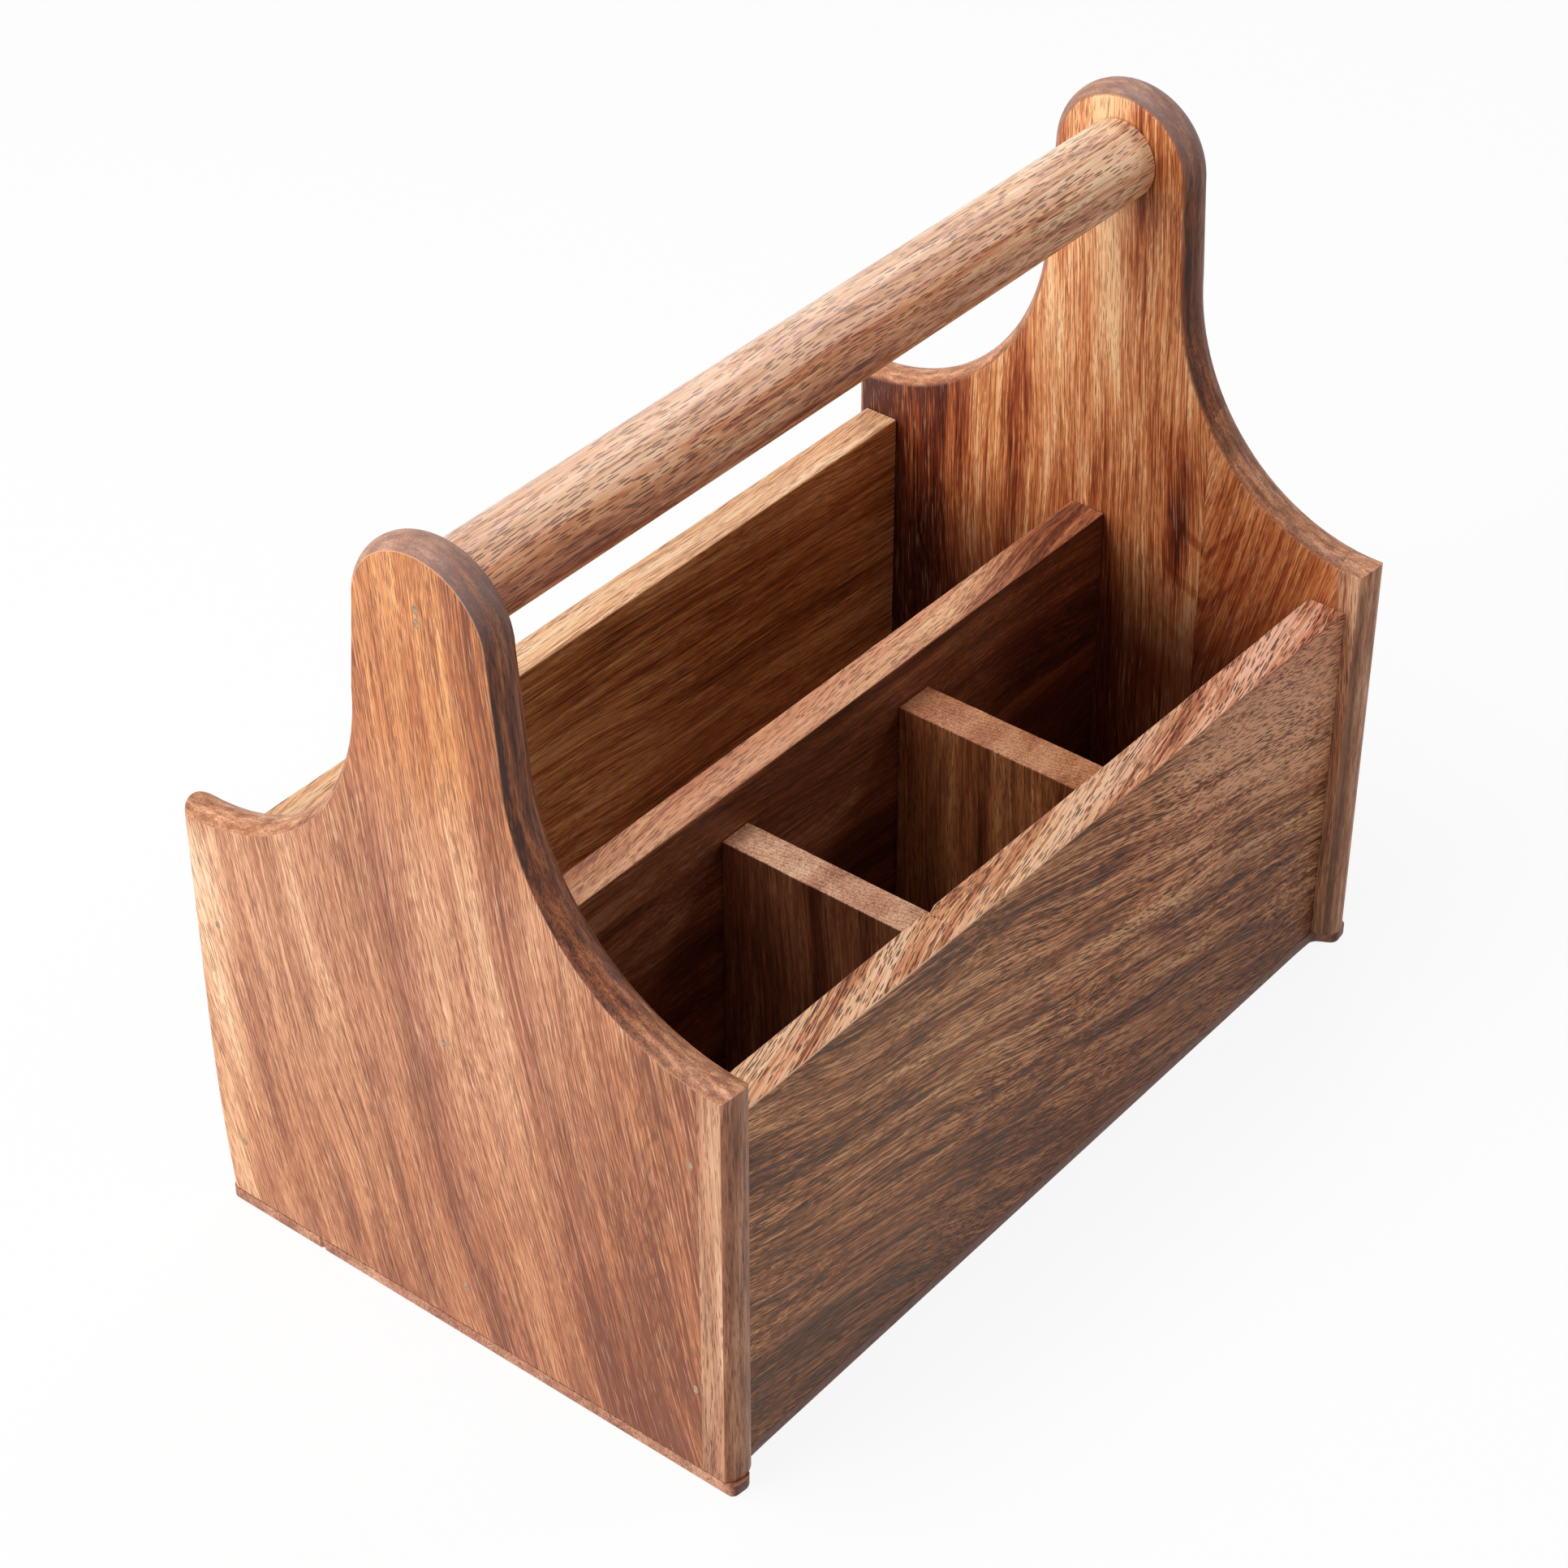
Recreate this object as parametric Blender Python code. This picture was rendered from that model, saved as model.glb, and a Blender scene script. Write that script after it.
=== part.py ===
"""Wooden storage caddy with a round handle.

Two shaped end boards carry a front board, a back board, a long divider and a round handle.
Two short dividers split the front half, and a thin base board closes the bottom.
Headless brads go in from outside, and each one is sunk and covered with wood filler.
X runs along the handle, the front board faces -Y, and Z is 0 under the base.
"""

import math
from collections import namedtuple

import bmesh
import bpy
from mathutils import Matrix, Vector

MM = 0.001
GLUE_LINE = 0.3 * MM
CUTTER_OVERRUN = 2.0 * MM
MERGE_DISTANCE = 0.02 * MM

# End boards: a crest outline in the middle of the thickness, nosed over to both faces.
# They are shaped by hand, so the left one differs a little from the right one.
SPAN = 250.0 * MM
DEPTH = 158.3 * MM
END_THICKNESS = 9.0 * MM
CORNER_HEIGHT = 117.3 * MM
COVE_RISE = 58.0 * MM
COVE_SHELF = 2.3 * MM
NECK_RISE = 25.0 * MM
LEFT_FRONT_INSET = 0.9 * MM
LEFT_CORNER_DROP = 0.7 * MM
LEFT_NECK_WIDTH = 44.6 * MM
LEFT_ARCH_RADIUS = 20.2 * MM
LEFT_ARCH_DROP = 3.3 * MM
LEFT_NOSE_DEPTH = 2.2 * MM
RIGHT_BACK_INSET = 2.1 * MM
RIGHT_NECK_WIDTH = 43.6 * MM
RIGHT_ARCH_RADIUS = 20.5 * MM
RIGHT_NOSE_DEPTH = 2.9 * MM
BACK_TAPER = 3.2 * MM
BACK_TAPER_HEIGHT = 55.0 * MM
FRONT_STRIP_WIDTH = 8.4 * MM
MIDDLE_STAVE_WIDTH = 39.1 * MM
TAPER_STEPS = 5
NOSE_STEPS = 3
COVE_STEPS = 14
ARCH_STEPS = 22

# Front and back boards, set back from the outermost edges of the end boards.
FRONT_THICKNESS = 10.5 * MM
FRONT_HEIGHT = 103.7 * MM
FRONT_RECESS = 5.5 * MM
BACK_THICKNESS = 9.7 * MM
BACK_HEIGHT = 105.4 * MM
BACK_RECESS = 6.3 * MM
BOARD_EASING = 0.9 * MM

# Dividers: the long one lies along the handle, the short ones cross the front half.
LONG_THICKNESS = 10.0 * MM
LONG_HEIGHT = 103.4 * MM
LONG_PLACE_SHARE = 0.519
LEFT_THICKNESS = 9.5 * MM
RIGHT_THICKNESS = 11.4 * MM
CROSS_DROP = 12.4 * MM
LEFT_PLACE_SHARE = 0.367
RIGHT_PLACE_SHARE = 0.659
DIVIDER_EASING = 0.6 * MM

# Base board under everything, with a rounded lobe under each corner of the end boards.
BASE_THICKNESS = 3.7 * MM
BASE_FLARE = 6.0 * MM
BASE_EASING = 1.3 * MM
FLARE_STEPS = 5

# Round handle, let into a shallow socket in each end board.
HANDLE_RADIUS = 10.2 * MM
HANDLE_LIFT = 2.4 * MM
SOCKET_DEPTH = 3.0 * MM
HANDLE_SIDES = 40
HANDLE_EASING = 0.5 * MM

# Brads through the end boards, and the filler over their sunk heads.
BRAD_RADIUS = 0.7 * MM
BRAD_BITE = 20.0 * MM
BRAD_CLEARANCE = 0.2 * MM
BRAD_SIDES = 10
FILLER_DEPTH = 1.6 * MM
FRONT_BRAD_SHARES = (0.27, 0.90)
FRONT_BRAD_SHIFTS = (0.1 * MM, 0.5 * MM)
LONG_BRAD_SHARES = (0.165, 0.862)
LONG_BRAD_SHIFTS = (-3.0 * MM, -1.2 * MM)
BACK_BRAD_SHARES = (0.20, 0.82)
BACK_BRAD_SHIFTS = (1.4 * MM, 2.3 * MM)
HANDLE_BRAD_SHIFT = 1.7 * MM
HANDLE_BRAD_DROPS = (3.4 * MM, 0.2 * MM)

# Brads up through the base into the boards that stand on it.
BASE_BRAD_SINK = 0.6 * MM
BASE_BRAD_BITE = 15.0 * MM
BASE_PANEL_SHARES = (0.12, 0.5, 0.88)
BASE_DIVIDER_SHARES = (0.26, 0.8)

# Places worked out from the sizes above.
half_span = SPAN / 2
half_depth = DEPTH / 2
inner_face = half_span - END_THICKNESS
board_end = inner_face - GLUE_LINE
board_foot = BASE_THICKNESS + GLUE_LINE
front_face = -half_depth + FRONT_RECESS
front_inside = front_face + FRONT_THICKNESS
front_middle = (front_face + front_inside) / 2
back_face = half_depth - BACK_RECESS
back_inside = back_face - BACK_THICKNESS
back_middle = (back_face + back_inside) / 2
long_middle = front_inside + (back_inside - front_inside) * LONG_PLACE_SHARE
long_front = long_middle - LONG_THICKNESS / 2
long_back = long_front + LONG_THICKNESS
cross_height = FRONT_HEIGHT - CROSS_DROP
left_middle = -inner_face + 2 * inner_face * LEFT_PLACE_SHARE
right_middle = -inner_face + 2 * inner_face * RIGHT_PLACE_SHARE
arch_height = CORNER_HEIGHT + COVE_RISE + NECK_RISE
hole_radius = BRAD_RADIUS + BRAD_CLEARANCE

# The edges of an end board are given at its crest, and its corner and arch as heights.
EndShape = namedtuple("EndShape", "side front back corner neck arch_height arch nose")
LEFT_END = EndShape(
    side=-1,
    front=-half_depth + LEFT_FRONT_INSET,
    back=half_depth,
    corner=CORNER_HEIGHT - LEFT_CORNER_DROP,
    neck=LEFT_NECK_WIDTH,
    arch_height=arch_height - LEFT_ARCH_DROP,
    arch=LEFT_ARCH_RADIUS,
    nose=LEFT_NOSE_DEPTH,
)
RIGHT_END = EndShape(
    side=1,
    front=-half_depth,
    back=half_depth - RIGHT_BACK_INSET,
    corner=CORNER_HEIGHT,
    neck=RIGHT_NECK_WIDTH,
    arch_height=arch_height,
    arch=RIGHT_ARCH_RADIUS,
    nose=RIGHT_NOSE_DEPTH,
)
handle_y = (RIGHT_END.front + RIGHT_END.back) / 2
handle_height = arch_height + HANDLE_LIFT


def clear_scene():
    for thing in list(bpy.data.objects):
        bpy.data.objects.remove(thing, do_unlink=True)


def make_material(name, colour, roughness, metallic=0.0):
    material = bpy.data.materials.new(name)
    material.use_nodes = True
    shader = material.node_tree.nodes["Principled BSDF"]
    shader.inputs["Base Color"].default_value = (*colour, 1.0)
    shader.inputs["Roughness"].default_value = roughness
    shader.inputs["Metallic"].default_value = metallic
    return material


def make_object(name, shape, material=None):
    """Turns a bmesh into an object of its own and frees the bmesh."""
    bmesh.ops.recalc_face_normals(shape, faces=shape.faces)
    mesh = bpy.data.meshes.new(name)
    shape.to_mesh(mesh)
    shape.free()
    thing = bpy.data.objects.new(name, mesh)
    bpy.context.scene.collection.objects.link(thing)
    if material:
        mesh.materials.append(material)
    return thing


def box_shape(low, high):
    shape = bmesh.new()
    bmesh.ops.create_cube(shape, size=1)
    low, high = Vector(low), Vector(high)
    size = high - low
    bmesh.ops.scale(shape, vec=size, verts=shape.verts)
    bmesh.ops.translate(shape, vec=(low + high) / 2, verts=shape.verts)
    return shape


def rod_shape(start, end, radius, sides):
    """A closed cylinder from start to end."""
    start, end = Vector(start), Vector(end)
    shape = bmesh.new()
    bmesh.ops.create_cone(
        shape,
        cap_ends=True,
        segments=sides,
        radius1=radius,
        radius2=radius,
        depth=(end - start).length,
    )
    turn = (end - start).to_track_quat("Z", "Y").to_matrix().to_4x4()
    bmesh.ops.transform(shape, matrix=Matrix.Translation((start + end) / 2) @ turn, verts=shape.verts)
    return shape


def join_shapes(shapes):
    """Several bmeshes put side by side in one."""
    whole = bmesh.new()
    for shape in shapes:
        mesh = bpy.data.meshes.new("loose")
        shape.to_mesh(mesh)
        shape.free()
        whole.from_mesh(mesh)
        bpy.data.meshes.remove(mesh)
    return whole


def cut(target, name, shapes):
    """Cuts the shapes out of the target with an exact Boolean."""
    cutter = make_object(name, join_shapes(shapes))
    cutter.hide_render = True
    cutter.display_type = "WIRE"
    boolean = target.modifiers.new(name, "BOOLEAN")
    boolean.operation = "DIFFERENCE"
    boolean.solver = "EXACT"
    boolean.object = cutter


def smooth_round(thing):
    thing.data.shade_smooth()
    thing.data.set_sharp_from_angle(angle=math.radians(35))


# End boards
def taper_at(height):
    """How far the back edge has drawn in at this height above the floor."""
    return BACK_TAPER * max(0, 1 - height / BACK_TAPER_HEIGHT) ** 2


def end_outline(end):
    """Crest outline as (y, z), from the foot of the front edge over the arch to the back."""
    foot = board_foot - end.nose - CUTTER_OVERRUN
    middle = (end.front + end.back) / 2
    half_width, half_neck = (end.back - end.front) / 2, end.neck / 2
    cove_reach = half_width - half_neck - COVE_SHELF
    side = [(half_width, end.corner)]
    for step in range(COVE_STEPS + 1):
        turn = math.pi / 2 * step / COVE_STEPS
        y = half_neck + cove_reach * (1 - math.sin(turn))
        side.append((y, end.corner + COVE_RISE * (1 - math.cos(turn))))
    arch = []
    for step in range(ARCH_STEPS + 1):
        turn = math.pi * step / ARCH_STEPS
        arch.append((-end.arch * math.cos(turn), end.arch_height + end.arch * math.sin(turn)))
    taper = []
    for step in range(TAPER_STEPS + 1):
        height = BACK_TAPER_HEIGHT + (foot - BACK_TAPER_HEIGHT) * step / TAPER_STEPS
        taper.append((half_width - taper_at(height), height))
    front = [(-half_width, foot)] + [(-y, z) for y, z in side]
    return [(y + middle, z) for y, z in front + arch + side[::-1] + taper]


def nose_radius(nose):
    """Radius of the arc that rises by this much over half the thickness of an end board."""
    return ((END_THICKNESS / 2) ** 2 + nose**2) / (2 * nose)


def nosed_board(end):
    """The whole end board about x = 0, before it is split into staves and bored."""
    shape = bmesh.new()
    corners = [shape.verts.new((0, y, z)) for y, z in end_outline(end)]
    face = shape.faces.new(corners)
    face.normal_update()
    if face.normal.x < 0:
        face.normal_flip()
    radius = nose_radius(end.nose)
    depth_before = 0
    for step in range(1, NOSE_STEPS + 1):
        height = END_THICKNESS / 2 * step / NOSE_STEPS
        depth = radius - math.sqrt(radius**2 - height**2)
        bmesh.ops.inset_region(
            shape,
            faces=[face],
            use_boundary=True,
            use_even_offset=True,
            thickness=depth - depth_before,
            depth=END_THICKNESS / 2 / NOSE_STEPS,
        )
        depth_before = depth
    bmesh.ops.mirror(shape, geom=shape.verts[:] + shape.edges[:] + shape.faces[:], axis="X", merge_dist=0)
    bmesh.ops.remove_doubles(shape, verts=shape.verts, dist=MERGE_DISTANCE)
    keep_side(shape, (0, 0, board_foot), (0, 0, -1))
    return shape


def keep_side(shape, point, outward):
    """Cuts the shape flat at a plane, and closes the cut."""
    found = bmesh.ops.bisect_plane(
        shape,
        geom=shape.verts[:] + shape.edges[:] + shape.faces[:],
        plane_co=point,
        plane_no=outward,
        clear_outer=True,
    )
    edges = [item for item in found["geom_cut"] if isinstance(item, bmesh.types.BMEdge)]
    bmesh.ops.contextual_create(shape, geom=edges)


def stave(name, end, low, high, material):
    """One stave of an end board, between y = low and y = high where these are given."""
    shape = nosed_board(end)
    if low is not None:
        keep_side(shape, (0, low, 0), (0, -1, 0))
    if high is not None:
        keep_side(shape, (0, high, 0), (0, 1, 0))
    bmesh.ops.translate(shape, vec=(end.side * (half_span - END_THICKNESS / 2), 0, 0), verts=shape.verts)
    thing = make_object(name, shape, material)
    smooth_round(thing)
    return thing


# Brads and filler
def brad_places():
    """Where the brads of one end go in: name, y, z."""
    places = []
    for name, middle, height, shares, shifts in (
        ("front", front_middle, FRONT_HEIGHT, FRONT_BRAD_SHARES, FRONT_BRAD_SHIFTS),
        ("divider", long_middle, LONG_HEIGHT, LONG_BRAD_SHARES, LONG_BRAD_SHIFTS),
        ("back", back_middle, BACK_HEIGHT, BACK_BRAD_SHARES, BACK_BRAD_SHIFTS),
    ):
        for level, share, shift in zip(("lower", "upper"), shares, shifts):
            places.append((f"{name}_{level}", middle + shift, height * share))
    for level, drop in zip(("lower", "upper"), HANDLE_BRAD_DROPS):
        places.append((f"handle_{level}", handle_y + HANDLE_BRAD_SHIFT, handle_height - drop))
    return places


def brad_hole(side, y, z):
    """The bore of one brad, from outside the end board to just past the brad's point."""
    start = side * (half_span + CUTTER_OVERRUN)
    tip = side * (inner_face - BRAD_BITE - BRAD_CLEARANCE)
    return rod_shape((start, y, z), (tip, y, z), hole_radius, BRAD_SIDES)


def brads_of(side, word, steel, putty):
    for place, y, z in brad_places():
        head = side * (half_span - FILLER_DEPTH - BRAD_CLEARANCE)
        tip = side * (inner_face - BRAD_BITE)
        shank = rod_shape((head, y, z), (tip, y, z), BRAD_RADIUS, BRAD_SIDES)
        smooth_round(make_object(f"{word}_brad_{place}", shank, steel))
        face = side * half_span
        inside = side * (half_span - FILLER_DEPTH)
        plug = rod_shape((face, y, z), (inside, y, z), BRAD_RADIUS, BRAD_SIDES)
        smooth_round(make_object(f"{word}_filler_{place}", plug, putty))


def base_brad_places():
    """Where the brads go up through the base: name, x, y."""
    places = []
    for name, y, shares in (
        ("front", front_middle, BASE_PANEL_SHARES),
        ("back", back_middle, BASE_PANEL_SHARES),
        ("divider", long_middle, BASE_DIVIDER_SHARES),
    ):
        for number, share in enumerate(shares, 1):
            places.append((f"{name}_{number}", -inner_face + 2 * inner_face * share, y))
    return places


def base_brad_hole(x, y):
    top = board_foot + BASE_BRAD_BITE + BRAD_CLEARANCE
    return rod_shape((x, y, -CUTTER_OVERRUN), (x, y, top), hole_radius, BRAD_SIDES)


def base_brads(steel):
    for place, x, y in base_brad_places():
        top = board_foot + BASE_BRAD_BITE
        shank = rod_shape((x, y, BASE_BRAD_SINK), (x, y, top), BRAD_RADIUS, BRAD_SIDES)
        smooth_round(make_object(f"base_brad_{place}", shank, steel))


def end_holes(side, *boards):
    """The bores of one end, or only those into the boards named."""
    places = [(name.split("_")[0], y, z) for name, y, z in brad_places()]
    return [brad_hole(side, y, z) for board, y, z in places if not boards or board in boards]


def holes_into(board):
    """The bores of both ends into one board, the divider or the handle."""
    return end_holes(LEFT_END.side, board) + end_holes(RIGHT_END.side, board)


def base_holes_into(board):
    return [base_brad_hole(x, y) for name, x, y in base_brad_places() if name.startswith(board)]


# Boards that stand between the ends
def eased_board(name, low, high, easing, material):
    """A plain board whose two long upper arrises are eased."""
    shape = box_shape(low, high)
    top = max(vert.co.z for vert in shape.verts)
    along = 0 if high[0] - low[0] > high[1] - low[1] else 1
    upper = []
    for edge in shape.edges:
        first, last = (vert.co for vert in edge.verts)
        if first.z == last.z == top and first[1 - along] == last[1 - along]:
            upper.append(edge)
    bmesh.ops.bevel(
        shape,
        geom=upper,
        offset=easing,
        offset_type="OFFSET",
        affect="EDGES",
        segments=3,
        profile=0.5,
        material=-1,
    )
    return make_object(name, shape, material)


# Base board
def base_corner(face, reach, nose):
    """Plan edge of the base from a long board's face round under one corner, as (x, y), both positive."""
    flat_edge = reach - nose
    half = END_THICKNESS / 2
    radius = nose_radius(nose)
    start = inner_face - BASE_FLARE
    points = []
    for step in range(FLARE_STEPS + 1):
        share = step / FLARE_STEPS
        rise = share**2 * (3 - 2 * share)
        points.append((start + (BASE_FLARE + half) * share, face + (reach - face) * rise))
    for step in range(1, FLARE_STEPS + 1):
        off = half * step / FLARE_STEPS
        bulge = math.sqrt(radius**2 - off**2) - (radius - nose)
        points.append((inner_face + half + off, flat_edge + bulge))
    return points


def base_board(material):
    taper = taper_at(BASE_THICKNESS)
    outline = []
    for end, along in ((LEFT_END, 1), (RIGHT_END, -1)):
        front = base_corner(-front_face, -end.front, end.nose)
        back = base_corner(back_face, end.back - taper, end.nose)
        corners = [(end.side * x, y) for x, y in back]
        corners += [(end.side * x, -y) for x, y in front[::-1]]
        outline += corners[::along]
    shape = bmesh.new()
    under = shape.faces.new([shape.verts.new((x, y, 0)) for x, y in outline])
    grown = bmesh.ops.extrude_face_region(shape, geom=[under], use_keep_orig=True)
    tops = [item for item in grown["geom"] if isinstance(item, bmesh.types.BMVert)]
    bmesh.ops.translate(shape, vec=(0, 0, BASE_THICKNESS), verts=tops)
    rim = [edge for edge in shape.edges if all(vert.co.z == 0 for vert in edge.verts)]
    bmesh.ops.bevel(
        shape,
        geom=rim,
        offset=BASE_EASING,
        offset_type="OFFSET",
        affect="EDGES",
        segments=2,
        profile=0.5,
        material=-1,
    )
    return make_object("base_board", shape, material)


# Handle
def handle(material):
    reach = inner_face + SOCKET_DEPTH - GLUE_LINE
    start, end = (-reach, handle_y, handle_height), (reach, handle_y, handle_height)
    shape = rod_shape(start, end, HANDLE_RADIUS, HANDLE_SIDES)
    rims = [edge for edge in shape.edges if abs(edge.verts[0].co.x - edge.verts[1].co.x) < MERGE_DISTANCE]
    bmesh.ops.bevel(
        shape,
        geom=rims,
        offset=HANDLE_EASING,
        offset_type="OFFSET",
        affect="EDGES",
        segments=1,
        profile=0.5,
        material=-1,
    )
    thing = make_object("handle", shape, material)
    smooth_round(thing)
    return thing


def socket(side):
    inside = side * (inner_face - CUTTER_OVERRUN)
    bottom = side * (inner_face + SOCKET_DEPTH)
    start, end = (inside, handle_y, handle_height), (bottom, handle_y, handle_height)
    return rod_shape(start, end, HANDLE_RADIUS + GLUE_LINE, HANDLE_SIDES)


def build():
    clear_scene()
    steel = make_material("brad_steel", (0.5, 0.5, 0.5), 0.35, 1.0)
    putty = make_material("wood_filler", (0.22, 0.15, 0.10), 0.8)

    # Both end boards are glued up from staves, with their joints upright.
    half_line = GLUE_LINE / 2
    left_line = LEFT_END.front + FRONT_STRIP_WIDTH
    right_line = RIGHT_END.front + FRONT_STRIP_WIDTH
    stave_line = right_line + MIDDLE_STAVE_WIDTH
    left_strip_wood = make_material("left_strip_wood", (0.48, 0.27, 0.14), 0.45)
    stave("left_front_strip", LEFT_END, None, left_line - half_line, left_strip_wood)
    left_wood = make_material("left_end_wood", (0.36, 0.17, 0.08), 0.45)
    left_board = stave("left_end_board", LEFT_END, left_line + half_line, None, left_wood)
    cut(left_board, "left_end_socket", [socket(LEFT_END.side)])
    cut(left_board, "left_end_bores", end_holes(LEFT_END.side))
    right_strip_wood = make_material("right_strip_wood", (0.44, 0.25, 0.14), 0.45)
    stave("right_front_strip", RIGHT_END, None, right_line - half_line, right_strip_wood)
    middle_wood = make_material("right_middle_wood", (0.38, 0.18, 0.09), 0.45)
    middle_stave = stave(
        "right_middle_stave", RIGHT_END, right_line + half_line, stave_line - half_line, middle_wood
    )
    cut(middle_stave, "right_middle_bores", end_holes(RIGHT_END.side, "front"))
    right_wood = make_material("right_back_wood", (0.34, 0.16, 0.07), 0.45)
    back_stave = stave("right_back_stave", RIGHT_END, stave_line + half_line, None, right_wood)
    cut(back_stave, "right_back_socket", [socket(RIGHT_END.side)])
    cut(back_stave, "right_back_bores", end_holes(RIGHT_END.side, "divider", "back", "handle"))

    # Long boards between the ends
    for name, word, low_y, high_y, height, easing, colour in (
        ("front_board", "front", front_face, front_inside, FRONT_HEIGHT, BOARD_EASING, (0.18, 0.09, 0.05)),
        ("back_board", "back", back_inside, back_face, BACK_HEIGHT, BOARD_EASING, (0.24, 0.11, 0.05)),
        ("long_divider", "divider", long_front, long_back, LONG_HEIGHT, DIVIDER_EASING, (0.26, 0.12, 0.06)),
    ):
        board = eased_board(
            name,
            (-board_end, low_y, board_foot),
            (board_end, high_y, height),
            easing,
            make_material(f"{name}_wood", colour, 0.45),
        )
        cut(board, f"{name}_bores", holes_into(word) + base_holes_into(word))

    # Short dividers across the front half
    for side, middle, thickness in (
        ("left", left_middle, LEFT_THICKNESS),
        ("right", right_middle, RIGHT_THICKNESS),
    ):
        eased_board(
            f"{side}_cross_divider",
            (middle - thickness / 2, front_inside + GLUE_LINE, board_foot),
            (middle + thickness / 2, long_front - GLUE_LINE, cross_height),
            DIVIDER_EASING,
            make_material(f"{side}_cross_wood", (0.30, 0.16, 0.09), 0.5),
        )

    base = base_board(make_material("base_board_wood", (0.30, 0.15, 0.09), 0.5))
    cut(base, "base_bores", [base_brad_hole(x, y) for _, x, y in base_brad_places()])

    rod = handle(make_material("handle_wood", (0.46, 0.26, 0.14), 0.4))
    cut(rod, "handle_bores", holes_into("handle"))

    brads_of(LEFT_END.side, "left", steel, putty)
    brads_of(RIGHT_END.side, "right", steel, putty)
    base_brads(steel)


build()
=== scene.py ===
"""A wooden storage caddy: oiled boards glued and bradded together, with a round handle.

The pieces follow in the order in which the caddy is put together, and the studio comes last.
X runs along the handle, the front board faces -Y, and Z is 0 under the base. Lengths are metres.
"""

import math

import bmesh
import bpy
from mathutils import Matrix, Vector, noise


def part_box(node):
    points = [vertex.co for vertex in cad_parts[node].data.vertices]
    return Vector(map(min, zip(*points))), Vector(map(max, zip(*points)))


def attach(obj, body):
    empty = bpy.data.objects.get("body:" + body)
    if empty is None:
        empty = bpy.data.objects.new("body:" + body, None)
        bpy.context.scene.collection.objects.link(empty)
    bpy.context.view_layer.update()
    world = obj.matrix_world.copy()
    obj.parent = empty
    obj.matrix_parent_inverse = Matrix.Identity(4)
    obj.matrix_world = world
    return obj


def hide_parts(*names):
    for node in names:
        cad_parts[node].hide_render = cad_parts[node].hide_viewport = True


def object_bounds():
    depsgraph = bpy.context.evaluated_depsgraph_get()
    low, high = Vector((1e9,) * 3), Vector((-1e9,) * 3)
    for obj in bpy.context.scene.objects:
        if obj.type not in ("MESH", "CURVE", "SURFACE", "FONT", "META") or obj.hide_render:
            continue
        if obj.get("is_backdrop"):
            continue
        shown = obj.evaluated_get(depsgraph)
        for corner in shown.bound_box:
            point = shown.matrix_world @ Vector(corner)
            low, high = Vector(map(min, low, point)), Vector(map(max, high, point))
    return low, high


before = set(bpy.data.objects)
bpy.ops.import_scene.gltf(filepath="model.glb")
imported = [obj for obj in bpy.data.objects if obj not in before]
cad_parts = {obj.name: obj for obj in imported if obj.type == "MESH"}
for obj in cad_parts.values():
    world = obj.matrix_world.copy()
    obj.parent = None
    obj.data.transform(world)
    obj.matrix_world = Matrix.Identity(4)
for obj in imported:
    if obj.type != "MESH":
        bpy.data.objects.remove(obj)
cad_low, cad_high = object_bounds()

# Base board
# A thin solid board under everything, glued on and bradded from below. Its end grain looks pink.
# A rounded lobe reaches out under each corner of the end boards, and the left edge has a notch.

MM = 0.001


def tone(red, green, blue):
    """A colour given in screen values, as the linear colour that the shader wants."""
    steps = [value / 255 for value in (red, green, blue)]
    return (*[s / 12.92 if s < 0.04045 else ((s + 0.055) / 1.055) ** 2.4 for s in steps], 1)


class Thread:
    """A number that runs through a material's nodes. Sums and products of it add Math nodes."""

    def __init__(self, bench, socket):
        self.bench = bench
        self.socket = socket

    def __add__(self, other):
        return self.bench.sum("ADD", self, other)

    def __sub__(self, other):
        return self.bench.sum("SUBTRACT", self, other)

    def __mul__(self, other):
        return self.bench.sum("MULTIPLY", self, other)

    def __truediv__(self, other):
        return self.bench.sum("DIVIDE", self, other)

    def __rsub__(self, other):
        return self.bench.sum("SUBTRACT", other, self)

    def __rtruediv__(self, other):
        return self.bench.sum("DIVIDE", other, self)

    def __abs__(self):
        return self.bench.sum("ABSOLUTE", self)

    __radd__ = __add__
    __rmul__ = __mul__


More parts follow.
